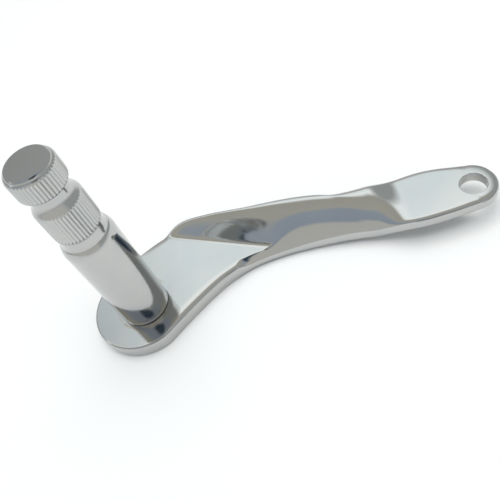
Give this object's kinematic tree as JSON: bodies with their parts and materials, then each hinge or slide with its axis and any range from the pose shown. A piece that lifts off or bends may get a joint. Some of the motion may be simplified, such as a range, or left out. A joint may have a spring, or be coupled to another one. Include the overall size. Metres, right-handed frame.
{
  "type": "shift lever inner half",
  "caption": "Chrome shift lever with a cranked forged arm, a rod hole at one end and a serrated shaft standing square out of the other.",
  "frame": {"origin": "centre of the shaft's tail, in the plane of the boss's flat back", "axes": "+Z along the shaft towards its serrated end, +X towards the rod hole"},
  "size_m": [0.1554, 0.0485, 0.085],
  "materials": {
    "polished_chrome": "mirror polished",
    "turned_chrome": "satin",
    "plated_weld": "ground"
  },
  "bodies": {
    "root": {"lever_arm": "polished_chrome", "splined_shaft": "turned_chrome", "rear_weld_ring": "plated_weld"}
  },
  "joints": []
}
